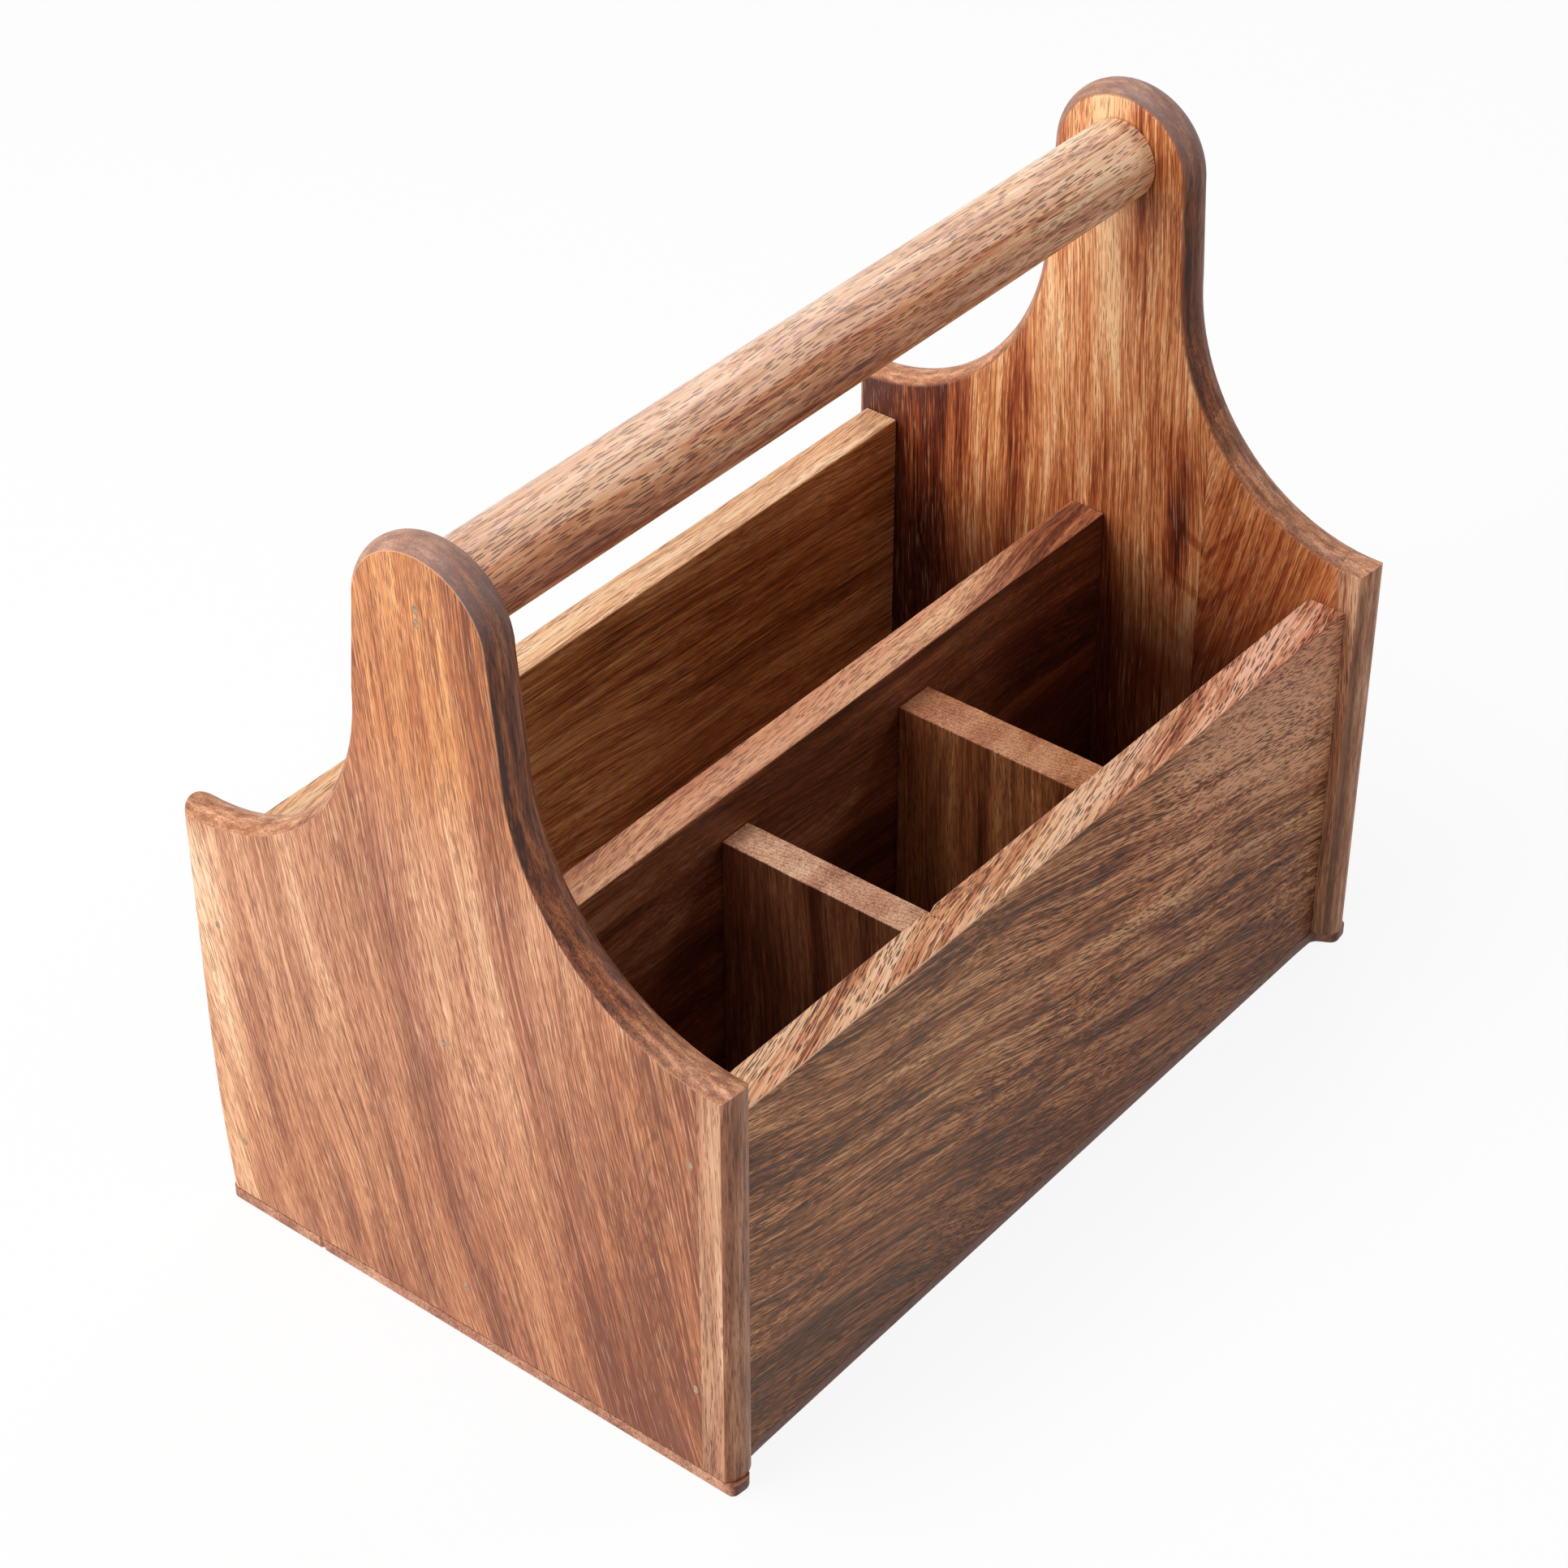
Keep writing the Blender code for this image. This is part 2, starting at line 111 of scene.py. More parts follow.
class Bench:
    """The nodes of one material, around its Principled shader, or those of the world."""

    def __init__(self, owner):
        """Owner is the material or the world that the nodes belong to."""
        owner.use_nodes = True
        self.owner = owner
        self.tree = owner.node_tree
        self.shader = self.tree.nodes.get("Principled BSDF")

    def feed(self, node, sockets):
        """Sets or links these sockets of a node."""
        for key, value in sockets.items():
            if isinstance(value, Thread):
                self.tree.links.new(value.socket, node.inputs[key])
            else:
                node.inputs[key].default_value = value

    def add(self, kind, settings=None, sockets=None):
        """Any node: its kind, then its settings, then the values or threads of its sockets."""
        node = self.tree.nodes.new(kind)
        for key, value in (settings or {}).items():
            if key == "stops":
                ramp = node.color_ramp.elements
                while len(ramp) < len(value):
                    ramp.new(0.5)
                for stop, (place, colour) in zip(ramp, value):
                    stop.position = place
                    stop.color = colour
            else:
                setattr(node, key, value)
        self.feed(node, sockets or {})
        return node

    def out(self, node, name):
        return Thread(self, node.outputs[name])

    def sum(self, operation, first, second=0.0):
        node = self.add("ShaderNodeMath", {"operation": operation}, {0: first, 1: second})
        return self.out(node, "Value")

    def step(self, value, low, high):
        """0 below low and 1 above high, with a soft change between them. Low may be the higher."""
        settings = {"interpolation_type": "SMOOTHSTEP"}
        sockets = {"Value": value, "From Min": low, "From Max": high}
        return self.out(self.add("ShaderNodeMapRange", settings, sockets), "Result")

    def hump(self, value, middle, width):
        """1 at the middle, falling softly to 0 at a width away."""
        return self.step(abs(value - middle), width, 0.0)

    def mix(self, share, first, second, blend="MIX"):
        settings = {"data_type": "RGBA", "blend_type": blend}
        node = self.add("ShaderNodeMix", settings, {0: share, 6: first, 7: second})
        return Thread(self, node.outputs[2])

    def ramp(self, value, *stops):
        node = self.add("ShaderNodeValToRGB", {"stops": stops}, {"Fac": value})
        return self.out(node, "Color")

    def tone_ramp(self, value, tones):
        """A ramp from 0 to 1 with these tones evenly along it."""
        steps = len(tones) - 1
        return self.ramp(value, *[(n / steps, tone(*shade)) for n, shade in enumerate(tones)])


class Timber(Bench):
    """Wood. Its nodes work in millimetres along the fibres, across the face and into the board."""

    # The rough size of each kind of mark, in those three directions.
    SWERVE = (95, 34, 50)
    DIP = (70, 26, 30)
    BAND = (150, 9, 13)
    COOL_BAND = (130, 10, 16)
    STREAK = (24, 1.1, 1.4)
    LINE = (60, 0.42, 0.7)
    FINE = (6, 0.3, 0.3)
    HAIR = (34, 0.3, 0.5)
    FLECK = (13, 0.32, 0.4)
    CROWD = (30, 4, 6)
    SANDED_DIP = (60, 24, 40)

    def __init__(self, name, along, face, seed, swerve=1.0, top_along=None):
        """Face is the way the board's wide face looks. Top_along is the grain's way on its top edge."""
        super().__init__(bpy.data.materials.new(name))
        coordinates = self.add("ShaderNodeTexCoord")
        self.place = self.out(coordinates, "Object")
        self.facing = self.out(coordinates, "Normal")
        self.x, self.y, self.z = (self.measure(axis) for axis in Matrix.Identity(3))
        self.seed = seed
        self.top = self.looks((0, 0, 1))
        self.end_grain = abs(self.dot(self.facing, Vector(along).normalized()))
        self.end_grain = self.step(self.end_grain, 0.35, 0.95)
        self.along, self.across, self.into = self.lay(along, face)
        if top_along:
            laid = zip((self.along, self.across, self.into), self.lay(top_along, (0, 0, 1)))
            laid = [side + (top - side) * self.top for side, top in laid]
            self.along, self.across, self.into = laid
        self.across = self.across + (self.fibres(self.SWERVE, shift=7.3) - 0.5) * (9 * swerve)
        self.into = self.into + (self.fibres(self.DIP, shift=3.1) - 0.5) * (5 * swerve)

    def lay(self, along, face):
        """Distances along the fibres, across the face and into the board."""
        along = Vector(along).normalized()
        into = Vector(face)
        into = (into - along * into.dot(along)).normalized()
        return self.measure(along), self.measure(into.cross(along)), self.measure(into)

    def dot(self, vector, direction):
        settings = {"operation": "DOT_PRODUCT"}
        node = self.add("ShaderNodeVectorMath", settings, {0: vector, 1: tuple(direction)})
        return self.out(node, "Value")

    def looks(self, direction, low=0.5, high=0.9):
        """1 where the surface looks this way."""
        return self.step(self.dot(self.facing, direction), low, high)

    def measure(self, direction):
        return self.dot(self.place, direction) * 1000

    def spot(self, x, y, z):
        return self.out(self.add("ShaderNodeCombineXYZ", {}, {"X": x, "Y": y, "Z": z}), "Vector")

    def cloud(self, x, y, z, detail=1):
        """Soft noise, mostly from 0.3 to 0.7."""
        sockets = {"Vector": self.spot(x, y, z), "Scale": 1.0, "Detail": detail, "Roughness": 0.55}
        return self.out(self.add("ShaderNodeTexNoise", {}, sockets), "Fac")

    def fibres(self, size, detail=1, shift=0.0):
        """Noise drawn out along the grain. Each shift gives other marks of the same size."""
        length, width, depth = size
        return self.cloud(self.along / length + (self.seed + shift), self.across / width,
                          self.into / depth + shift, detail)

    def dashes(self, length, width, fill, shift):
        """Short dashes along the grain, 1 in the middle of each. Fill sets how thick they are."""
        start = self.along / length + (self.seed + shift)
        vector = self.spot(start, self.across / width, self.into / width)
        node = self.add("ShaderNodeTexVoronoi", {}, {"Vector": vector, "Scale": 1.0})
        return self.step(self.out(node, "Distance") - fill, 0.05, -0.04)

    def inside(self, side):
        """How deep a place lies in the compartments, on the face that looks along X to a side: the
        share of painted shade there.
        """
        return self.looks((side, 0, 0), 0.8, 0.95) * self.step(self.z, 108, 62)

    def finish(self, tones, top_tones=None, figure=0.0, bands=1.3, streaks=0.9, lines=0.8,
               drift=0.6, pores=(4.4, 0.5, 0.27), pore_tone=(84, 46, 38), pore_share=0.65,
               hairs=0.3, flecks=0.25, washes=(), end_share=0.5, overlays=(), gloss=0.3):
        """Works up the whole finish, from broad bands to pores, with its oil and its relief.

        Tones go from dark to pale, and figure moves the place on them, as bands, streaks and
        lines do by chance. Top tones are those of the sanded top edge. Drift is how far the hue
        wanders. Pores have a length, a width and a fill, hairs are thin dark fibres and flecks
        pale ones. Washes are shares and colours that tint the wood under its pores, as its own
        tints and on some boards as painted shade and painted sheen. The end_share darkens the end
        grain, and overlays are shares and paints laid over all, among them some painted shade,
        painted sheen and painted highlights.
        """
        streak = self.fibres(self.STREAK, 2, 5.2) - 0.5
        line = self.fibres(self.LINE, 2, 8.8) - 0.5
        fine = self.fibres(self.FINE, 1, 9.4) - 0.5
        value = (self.fibres(self.BAND, 2, 1.7) - 0.5) * bands + 0.5 + figure
        value = value + streak * streaks + line * lines + fine * 0.6
        colour = self.tone_ramp(value, tones)
        if top_tones:
            colour = self.mix(self.top, colour, self.tone_ramp(value, top_tones))
            colour = self.mix(self.top, colour, tone(240, 240, 240), "MULTIPLY")
        cool = self.step(self.fibres(self.COOL_BAND, 1, 2.9), 0.45, 0.62)
        colour = self.mix(cool * drift, colour, tone(236, 212, 208), "MULTIPLY")
        warm = self.step(line, 0.02, 0.16)
        colour = self.mix(warm * drift, colour, tone(255, 246, 222), "MULTIPLY")
        for share, wash in washes:
            colour = self.mix(share, colour, tone(*wash), "MULTIPLY")
        hair = self.step(self.fibres(self.HAIR, 1, 14.2), 0.6, 0.7)
        colour = self.mix(hair * hairs, colour, tone(*pore_tone))
        fleck = self.step(self.fibres(self.FLECK, 1, 31.9), 0.6, 0.72)
        colour = self.mix(fleck * flecks, colour, tone(*tones[-1]))
        crowd = (self.fibres(self.CROWD, 1, 12.6) - 0.5) * 0.35
        length, width, fill = pores
        pore = self.dashes(length, width, fill + crowd, 20.3)
        colour = self.mix(pore * pore_share, colour, tone(*pore_tone))
        colour = self.mix(self.end_grain * end_share, colour, tone(196, 160, 140), "MULTIPLY")
        for share, paint in overlays:
            colour = self.mix(share, colour, paint)
        relief = self.fibres(self.SANDED_DIP, 0, 44.0) * 0.4
        relief = relief + fine * 0.05 + streak * 0.05 - pore * 0.05
        sockets = {"Strength": 0.55, "Distance": 1.0 * MM, "Height": relief}
        self.feed(self.shader, {
            "Base Color": colour,
            "Roughness": 0.6 - 0.45 * gloss + streak * 0.2 + pore * 0.16,
            "Specular IOR Level": gloss,
            "Normal": self.out(self.add("ShaderNodeBump", {}, sockets), "Normal"),
        })
        return self.owner


def ease(shape, edges, offset, segments=3):
    """Rounds these edges, as sanding does."""
    bmesh.ops.bevel(shape, geom=edges, offset=offset, offset_type="OFFSET", affect="EDGES",
                    segments=segments, profile=0.5, material=-1, clamp_overlap=True)


def slice_at(shape, point, normal, clear_outer=False):
    """Cuts the shape all through at a plane. Gives what the cut made."""
    geom = shape.verts[:] + shape.edges[:] + shape.faces[:]
    found = bmesh.ops.bisect_plane(shape, geom=geom, plane_co=point, plane_no=normal,
                                   clear_outer=clear_outer)
    return found["geom_cut"]


def put_together(name, shape, material, node):
    """Makes the piece an object, smooth but for its flat faces and creases, in a node's place."""
    flat_area = 60 * MM * MM
    crease = 34
    bmesh.ops.recalc_face_normals(shape, faces=shape.faces)
    for face in shape.faces:
        face.smooth = face.calc_area() < flat_area
    mesh = bpy.data.meshes.new(name)
    shape.to_mesh(mesh)
    shape.free()
    mesh.set_sharp_from_angle(angle=math.radians(crease))
    mesh.materials.append(material)
    piece = bpy.data.objects.new(name, mesh)
    bpy.context.scene.collection.objects.link(piece)
    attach(piece, "root")
    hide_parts(node)


BASE_LOW, BASE_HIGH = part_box("base_board")
BASE_TOP = BASE_HIGH.z
FRONT_LOW, FRONT_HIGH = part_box("front_board")
BACK_LOW, BACK_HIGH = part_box("back_board")

# A lobe's lengths along X count inward from the end of the base.
LOBE_START = 16.0 * MM
LOBE_ROOT = 8.5 * MM
LOBE_ROOT_DROP = 0.2 * MM
LOBE_WIDTH = 5.5 * MM
LOBE_SLANT = 0.6 * MM
LOBE_ROUNDING = 1.5 * MM

BASE_EASING = 0.9 * MM
NOTCH = 0.45 * MM
NOTCH_START, NOTCH_IN, NOTCH_OUT, NOTCH_END = 45.2 * MM, 45.7 * MM, 46.4 * MM, 46.9 * MM


def base_shape():
    """The base board: its outline with rounded lobes, its thickness, and its eased lower rim."""
    half_span = BASE_HIGH.x
    outline = []
    for side, turn in ((-1, 1), (1, -1)):
        run = [
            (half_span - LOBE_START, FRONT_LOW.y),
            (half_span - LOBE_ROOT, FRONT_LOW.y - LOBE_ROOT_DROP),
            (half_span - LOBE_WIDTH, BASE_LOW.y),
            (half_span, BASE_LOW.y + LOBE_SLANT),
            (half_span, BASE_HIGH.y - LOBE_SLANT),
            (half_span - LOBE_WIDTH, BASE_HIGH.y),
            (half_span - LOBE_ROOT, BACK_HIGH.y + LOBE_ROOT_DROP),
            (half_span - LOBE_START, BACK_HIGH.y),
        ][::-turn]
        outline += [(side * x, y) for x, y in run]
    shape = bmesh.new()
    under = shape.faces.new([shape.verts.new((x, y, 0)) for x, y in outline])
    bmesh.ops.bevel(shape, geom=under.verts[:], offset=LOBE_ROUNDING, offset_type="OFFSET",
                    affect="VERTICES", segments=5, profile=0.5, material=-1, clamp_overlap=True)
    grown = bmesh.ops.extrude_face_region(shape, geom=shape.faces[:], use_keep_orig=True)
    tops = [item for item in grown["geom"] if isinstance(item, bmesh.types.BMVert)]
    bmesh.ops.translate(shape, vec=(0, 0, BASE_TOP), verts=tops)
    rim = [edge for edge in shape.edges if all(vert.co.z == 0 for vert in edge.verts)]
    ease(shape, rim, BASE_EASING)
    for y in (NOTCH_START, NOTCH_IN, NOTCH_OUT, NOTCH_END):
        slice_at(shape, (0, y, 0), (0, 1, 0))
    for vert in shape.verts:
        at_left = vert.co.x < LOBE_WIDTH - half_span
        if at_left and (NOTCH_START + NOTCH_IN) / 2 < vert.co.y < (NOTCH_OUT + NOTCH_END) / 2:
            vert.co.x += NOTCH
    return shape


base_wood = Timber("base_board_wood", (1, 0.03, 0), (0, 0, 1), seed=3.0)
base_material = base_wood.finish(
    tones=((122, 72, 50), (166, 112, 84), (204, 152, 122), (230, 184, 154)),
    # Painted shade: the faces that look to the front are darker.
    washes=((base_wood.looks((0, -1, 0)), (144, 110, 92)),),
    end_share=0.15,
)
put_together("base", base_shape(), base_material, "base_board")


# Front and back boards
# Two solid boards between the end boards, glued to their inner faces and bradded through them.
# Their long arrises are eased with sandpaper. The front board's face is darker towards the bottom
# as painted shade, and paler high up at its far end as painted sheen.

BOARD_EASING = 0.5 * MM
BOARD_CUTS = 115
WAVE_HEIGHT = 0.10 * MM
WAVES_PER_METRE = 160


def block(low, high):
    """A plain block as a bmesh."""
    shape = bmesh.new()
    bmesh.ops.create_cube(shape, size=1)
    bmesh.ops.scale(shape, vec=high - low, verts=shape.verts)
    bmesh.ops.translate(shape, vec=(low + high) / 2, verts=shape.verts)
    return shape


def edges_along(shape, run):
    """The edges that run along this axis."""
    return [e for e in shape.edges if abs(e.verts[0].co[run] - e.verts[1].co[run]) > MM]


def board_shape(low, high, easing, cuts, nicks=()):
    """A board with eased top arrises, cut across often enough for waves and small nicks in them."""
    shape = block(low, high)
    run = 0 if high.x - low.x > high.y - low.y else 1
    halfway = (low.z + high.z) / 2
    top_edges = [e for e in edges_along(shape, run) if min(v.co.z for v in e.verts) > halfway]
    ease(shape, top_edges, easing, segments=4)
    bmesh.ops.subdivide_edges(shape, edges=edges_along(shape, run), cuts=cuts, use_grid_fill=True)
    own_waves = Vector((low.y * 900, 0, 0))
    for vert in shape.verts:
        at_top = vert.co.z > high.z - 2 * easing
        between_ends = low[run] + MM < vert.co[run] < high[run] - MM
        if at_top and between_ends:
            vert.co.z += WAVE_HEIGHT * noise.noise(vert.co * WAVES_PER_METRE + own_waves)
        for place, reach, deep in nicks:
            gap = (vert.co - Vector(place)).length
            if gap < reach:
                vert.co += Vector(deep) * (1 - (gap / reach) ** 2)
    return shape


# Each nick has a place, a reach and a depth.
FRONT_NICKS = (
    ((-38.0 * MM, FRONT_HIGH.y, FRONT_HIGH.z), 1.6 * MM, (0, -0.5 * MM, -0.5 * MM)),
    ((62.0 * MM, FRONT_LOW.y, FRONT_HIGH.z), 1.5 * MM, (0, 0.35 * MM, -0.35 * MM)),
)
BACK_NICKS = (((-33.0 * MM, BACK_LOW.y, BACK_HIGH.z), 1.8 * MM, (0, 0.5 * MM, -0.4 * MM)),)

front_wood = Timber("front_board_wood", (1, 0.06, -0.22), (0, 1, 0), seed=11.0, swerve=1.6,
                    top_along=(1, 0.26, 0))
up_high = front_wood.step(front_wood.z, 45, 100)
smoky = front_wood.step(front_wood.fibres((42, 6, 9), shift=51.0), 0.5, 0.7)
for patch_x, patch_z, rise, width in ((-8, 34, 0.35, 9), (66, 52, 0.1, 8), (-96, 22, -0.1, 9)):
    off = front_wood.z - patch_z - (front_wood.x - patch_x) * rise
    smoky = smoky + front_wood.hump(off, 0, width) * front_wood.hump(front_wood.x, patch_x, 42)
smoky = front_wood.sum("MINIMUM", smoky, 1.0) * (1 - front_wood.top)
toward_far = front_wood.step(front_wood.x, -110, 110)
# Curled grain near the top at the far end.
curl_place = front_wood.spot((front_wood.x - 104) / 1.5, 0.0, (front_wood.z - 95) / 2.4)
curl_node = front_wood.add("ShaderNodeVectorMath", {"operation": "LENGTH"}, {0: curl_place})
curl = front_wood.out(curl_node, "Value")
curl_lines = front_wood.sum("SINE", curl * 2.6 + front_wood.fibres((20, 8, 9), shift=2.0) * 5)
curl_lines = front_wood.step(curl_lines, 0.2, 1.0) * front_wood.step(curl, 8, 4)
curl_lines = curl_lines * (1 - front_wood.top)
# Painted sheen: the upper part of the front face grows paler towards the far end.
side_figure = up_high * front_wood.step(front_wood.x, 20, 100) * 0.85 + toward_far * 0.26 - 0.06
top_figure = 0.35 - toward_far * 0.12
outer_arris = front_wood.hump(front_wood.dot(front_wood.facing, (0, -1, 0)), 0.6, 0.5)
front_material = front_wood.finish(
    tones=((62, 28, 14), (138, 80, 46), (190, 124, 78), (232, 176, 130)),
    top_tones=((122, 64, 38), (186, 120, 82), (218, 156, 114), (244, 200, 164)),
    figure=(1 - front_wood.top) * side_figure + front_wood.top * top_figure
    - smoky * 0.12 - curl_lines * 0.3,
    washes=(
        (smoky * 0.5, (196, 188, 200)),
        # Painted sheen, greying the upper far part of the front face.
        (up_high * front_wood.step(front_wood.x, 0, 90), (250, 236, 246)),
        # Painted shade, darker towards the bottom of the board.
        (front_wood.step(front_wood.z, 60, 8), (206, 192, 186)),
    ),
    bands=1.7,
    streaks=2.0,
    lines=2.1,
    drift=0.4,
    gloss=0.17,
    pores=(5.0, 0.4, 0.35),
    pore_tone=(46, 22, 16),
    pore_share=0.8,
    hairs=0.7,
    overlays=(
        (outer_arris * front_wood.step(front_wood.x, 30, -60) * 0.7, tone(248, 208, 172)),
        (outer_arris * front_wood.step(front_wood.x, 40, 80) * 0.6, tone(84, 46, 32)),
    ),
)
put_together(
    "front", board_shape(FRONT_LOW, FRONT_HIGH, BOARD_EASING, BOARD_CUTS, FRONT_NICKS),
    front_material, "front_board",
)

back_wood = Timber("back_board_wood", (1, 0.02, -0.06), (0, 1, 0), seed=23.0, top_along=(1, 0.03, 0))
back_material = back_wood.finish(
    tones=((84, 38, 14), (158, 90, 42), (208, 140, 80), (236, 180, 122)),
    top_tones=((164, 106, 68), (222, 164, 118), (242, 198, 154), (252, 222, 188)),
    figure=back_wood.step(back_wood.x, 30, -80) * (1 - back_wood.top) * 0.34 + 0.04,
    washes=((back_wood.looks((0, 1, 0)), (234, 208, 204)),),
    bands=1.5,
    lines=1.5,
    hairs=0.6,
    drift=0.3,
    pores=(7.0, 0.34, 0.3),
)
put_together(
    "back", board_shape(BACK_LOW, BACK_HIGH, BOARD_EASING, BOARD_CUTS, BACK_NICKS),
    back_material, "back_board",
)


# Long divider
# One solid board under the handle from end board to end board, a little lower than the back board.
# Its top arrises are only just broken.

LONG_LOW, LONG_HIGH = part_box("long_divider")
DIVIDER_EASING = 0.4 * MM

long_wood = Timber("long_divider_wood", (1, 0.05, -0.03), (0, 1, 0), seed=37.0, swerve=1.5,
                   top_along=(1, 0.07, 0))
toward_near = long_wood.step(long_wood.x, -20, -90)
far_end = long_wood.step(long_wood.x, 50, 95)
# Painted light: the top is paler from the middle to the far end, lifting the handle's shadow.
top_painted_light = long_wood.top * long_wood.step(long_wood.x, -60, 0)
long_material = long_wood.finish(
    tones=((60, 26, 14), (112, 58, 32), (158, 96, 60), (196, 138, 100)),
    top_tones=((108, 54, 32), (184, 118, 80), (220, 162, 120), (240, 194, 154)),
    figure=toward_near * 0.12 - far_end * 0.22 + 0.04 + top_painted_light * 0.16,
    # Painted shade, darker the deeper a place lies below the top.
    washes=((long_wood.step(long_wood.z, 106, 50), (178, 150, 134)),),
    bands=1.8,
    pores=(4.4, 0.34, 0.33),
    pore_tone=(60, 28, 20),
    hairs=0.5,
)
put_together(
    "divider_long", board_shape(LONG_LOW, LONG_HIGH, DIVIDER_EASING, BOARD_CUTS),
    long_material, "long_divider",
)


# Cross dividers
# Two short boards with upright grain between the front board and the long divider.
# Their top edges are end grain, pale and full of pores.

CROSS_CUTS = 40

for side, seed, tones, top_tones in (
    ("left", 51.0, ((46, 20, 12), (86, 44, 26), (128, 78, 50), (166, 116, 82)),
     ((142, 94, 68), (206, 152, 118), (234, 188, 154), (246, 212, 184))),
    ("right", 63.0, ((64, 30, 14), (114, 62, 32), (162, 102, 60), (198, 142, 96)),
     ((134, 76, 46), (188, 121, 82), (212, 156, 115), (232, 186, 148))),
):
    cross_low, cross_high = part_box(f"{side}_cross_divider")
    cross_wood = Timber(f"{side}_cross_wood", (0.02, 0.05, 1), (1, 0, 0), seed=seed)
    wander = cross_wood.cloud(cross_wood.x / 9, cross_wood.y / 14, seed) * 4
    growth = cross_wood.x + cross_wood.y * 0.2 + wander
    growth = cross_wood.step(cross_wood.sum("SINE", growth * 5.6), 0.2, 1.0) * cross_wood.top
    cross_material = cross_wood.finish(
        tones=tones,
        top_tones=top_tones,
        figure=growth * -0.2,
        end_share=0.0,
        pore_share=0.75,
    )
    put_together(
        f"divider_{side}", board_shape(cross_low, cross_high, DIVIDER_EASING, CROSS_CUTS),
        cross_material, f"{side}_cross_divider",
    )


# Left end board
# The end board next to the camera, glued up from a wide stave and a narrow pale one at the front.
# It is sawn to an arched outline, and its whole edge is sanded to a rounded nose.

GLUE_GAP = 0.3 * MM
FOOT = BASE_TOP + GLUE_GAP
HALF_SPAN = cad_high.x
END_THICKNESS = 9.0 * MM
COVE_SHELF = 2.3 * MM
COVE_RISE = 58.0 * MM
BACK_TAPER = 3.2 * MM
BACK_TAPER_HEIGHT = 55.0 * MM
TAPER_CUTS = 16
SAWN_OFF = 2.0 * MM
ARRIS = 0.22 * MM
COVE_STEPS = 30
ARCH_STEPS = 26
NOSE_STEPS = 9
MERGE = 0.01 * MM
HAIRLINE = 0.025 * MM


def keep_side(shape, point, outward):
    """Cuts the shape flat at a plane, and closes the cut."""
    made = slice_at(shape, point, outward, clear_outer=True)
    edges = [item for item in made if isinstance(item, bmesh.types.BMEdge)]
    bmesh.ops.contextual_create(shape, geom=edges)


def arc(shape, start, centre, angle, steps):
    """Spins a point round a centre in the plane of the board. Gives its first and last vertex."""
    first = shape.verts.new(start)
    spun = bmesh.ops.spin(shape, geom=[first], cent=centre, axis=(1, 0, 0),
                          angle=math.radians(angle), steps=steps, use_duplicate=False)
    last = [item for item in spun["geom_last"] if isinstance(item, bmesh.types.BMVert)][0]
    return first, last


def end_outline(front, back, corner, neck, arch_height, arch_radius, nose):
    """The crest line of an end board, in the plane of the board, as one face."""
    shape = bmesh.new()
    half_width, half_neck = (back - front) / 2, neck / 2
    reach = half_width - half_neck - COVE_SHELF
    crest_foot = FOOT - nose - SAWN_OFF
    centre = Vector((0, half_neck + reach, corner + COVE_RISE))
    cove_start, cove_end = arc(shape, centre - Vector((0, 0, COVE_RISE)), centre, -90, COVE_STEPS)
    squeeze = Matrix.Diagonal((1, reach / COVE_RISE, 1))
    to_centre = Matrix.Translation(-centre)
    bmesh.ops.transform(shape, matrix=squeeze.to_4x4(), space=to_centre, verts=shape.verts)
    arch_centre = Vector((0, 0, arch_height))
    arch_start, _ = arc(shape, arch_centre + Vector((0, arch_radius, 0)), arch_centre, 90, ARCH_STEPS)
    foot = shape.verts.new((0, half_width, crest_foot))
    corner_vert = shape.verts.new((0, half_width, corner))
    for first, last in ((foot, corner_vert), (corner_vert, cove_start), (cove_end, arch_start)):
        shape.edges.new((first, last))
    bmesh.ops.dissolve_verts(shape, verts=[cove_start])
    bmesh.ops.mirror(shape, geom=shape.verts[:] + shape.edges[:], axis="Y", merge_dist=MERGE)
    bmesh.ops.remove_doubles(shape, verts=shape.verts, dist=MERGE)
    feet = [vert for vert in shape.verts if abs(vert.co.z - crest_foot) < MM / 10]
    shape.edges.new(feet)
    back_edge = [e for e in shape.edges if all(v.co.y > half_width - MM for v in e.verts)
                 and abs(e.verts[0].co.z - e.verts[1].co.z) > BACK_TAPER_HEIGHT]
    bmesh.ops.subdivide_edges(shape, edges=back_edge, cuts=TAPER_CUTS)
    for vert in shape.verts:
        if vert.co.y > half_width - MM:
            drawn_in = max(0, 1 - vert.co.z / BACK_TAPER_HEIGHT) ** 2
            vert.co.y -= BACK_TAPER * drawn_in
    bmesh.ops.translate(shape, vec=(0, (front + back) / 2, 0), verts=shape.verts)
    bmesh.ops.contextual_create(shape, geom=shape.edges[:])
    return shape


